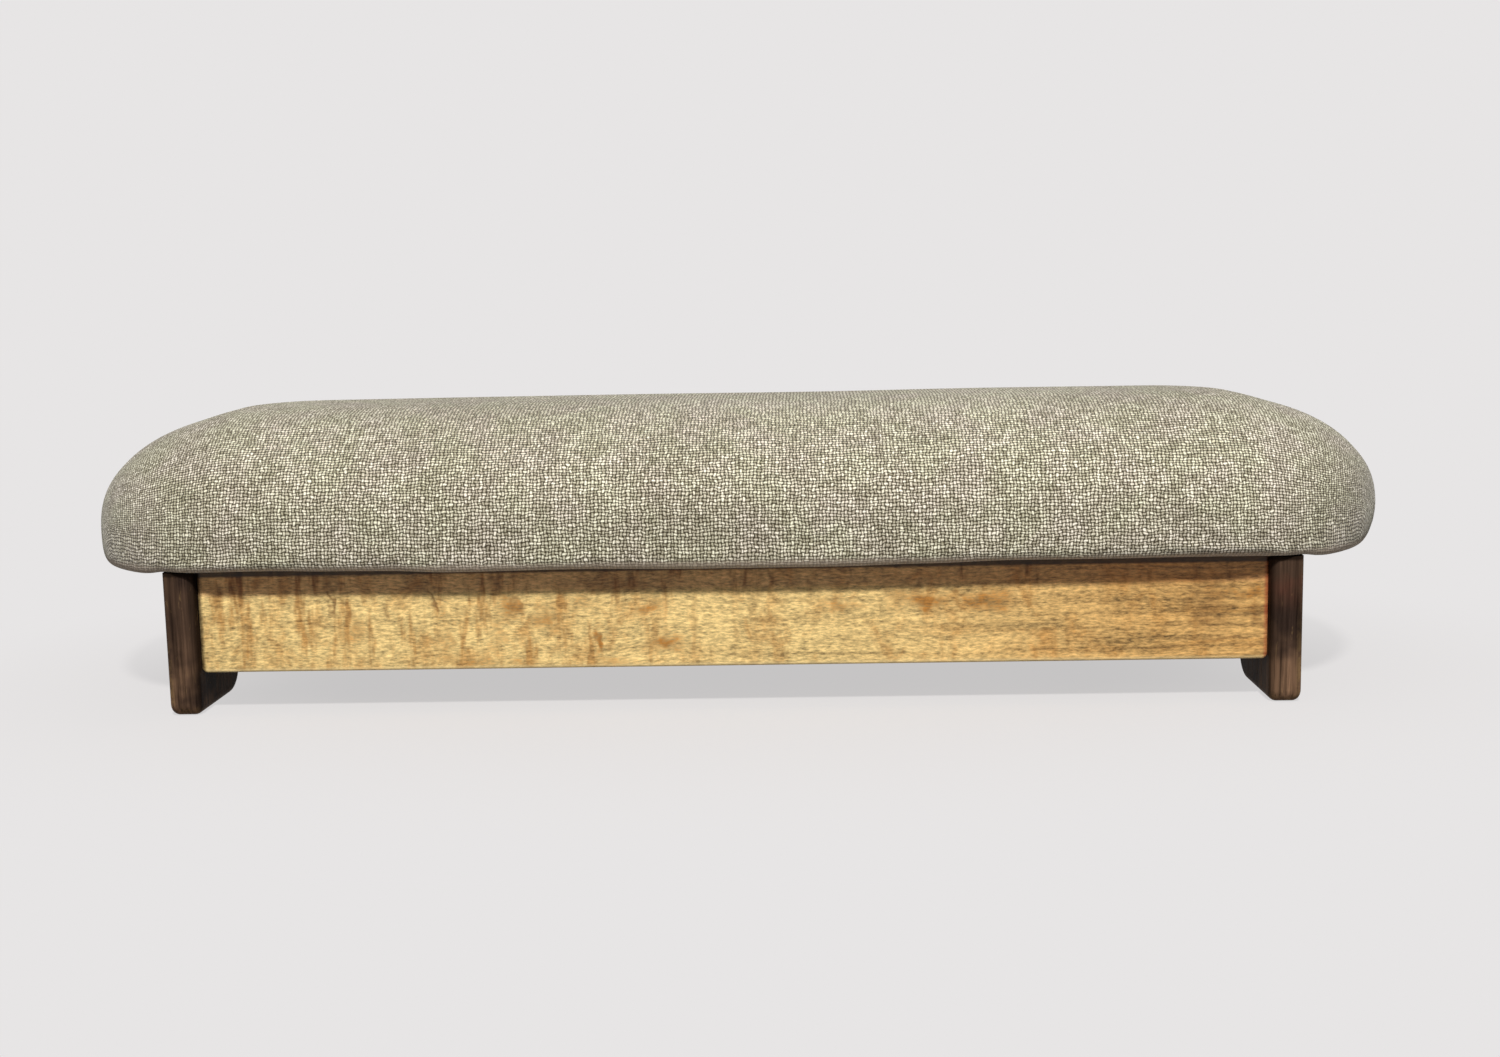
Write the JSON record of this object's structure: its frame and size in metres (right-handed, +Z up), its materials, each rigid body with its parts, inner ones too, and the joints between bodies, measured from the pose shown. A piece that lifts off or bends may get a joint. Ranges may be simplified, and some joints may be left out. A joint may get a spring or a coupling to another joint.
{
  "type": "padded footstool",
  "caption": "Long low footstool: a domed cushion in coarse woven cloth on a maple frame of two rails between dark end panels with arched feet, for resting the feet on.",
  "frame": {"origin": "on the floor under the middle of the stool", "axes": "+X along the stool to the right, -Y to the front, +Z up"},
  "size_m": [0.762, 0.229, 0.17],
  "materials": {
    "stained_wood": "walnut-stained maple board, satin clear coat, worn edges",
    "maple": "golden maple with figure, satin clear coat",
    "beech": "plain beech dowel",
    "block_wood": "bare softwood block",
    "plywood": "bare birch plywood",
    "woven_cover": "coarse heathered plain weave in cream and taupe",
    "wadding": "white polyester wadding",
    "foam": "open-cell upholstery foam",
    "dust_cloth": "black non-woven dust cloth",
    "staple_wire": "galvanised staple wire",
    "screw_steel": "zinc-plated wood screw"
  },
  "bodies": {
    "root": {"back_rail": "maple", "block_screws": "screw_steel", "corner_block_back_left": "block_wood", "corner_block_back_right": "block_wood", "corner_block_front_left": "block_wood", "corner_block_front_right": "block_wood", "cover_staples": "staple_wire", "dust_cover": "dust_cloth", "dust_cover_staples": "staple_wire", "end_panel_left": "stained_wood", "end_panel_right": "stained_wood", "foam_pad": "foam", "front_rail": "maple", "rail_dowels": "beech", "seat_board": "plywood", "seat_cover": "woven_cover", "seat_screws": "screw_steel", "wadding": "wadding"}
  },
  "joints": []
}
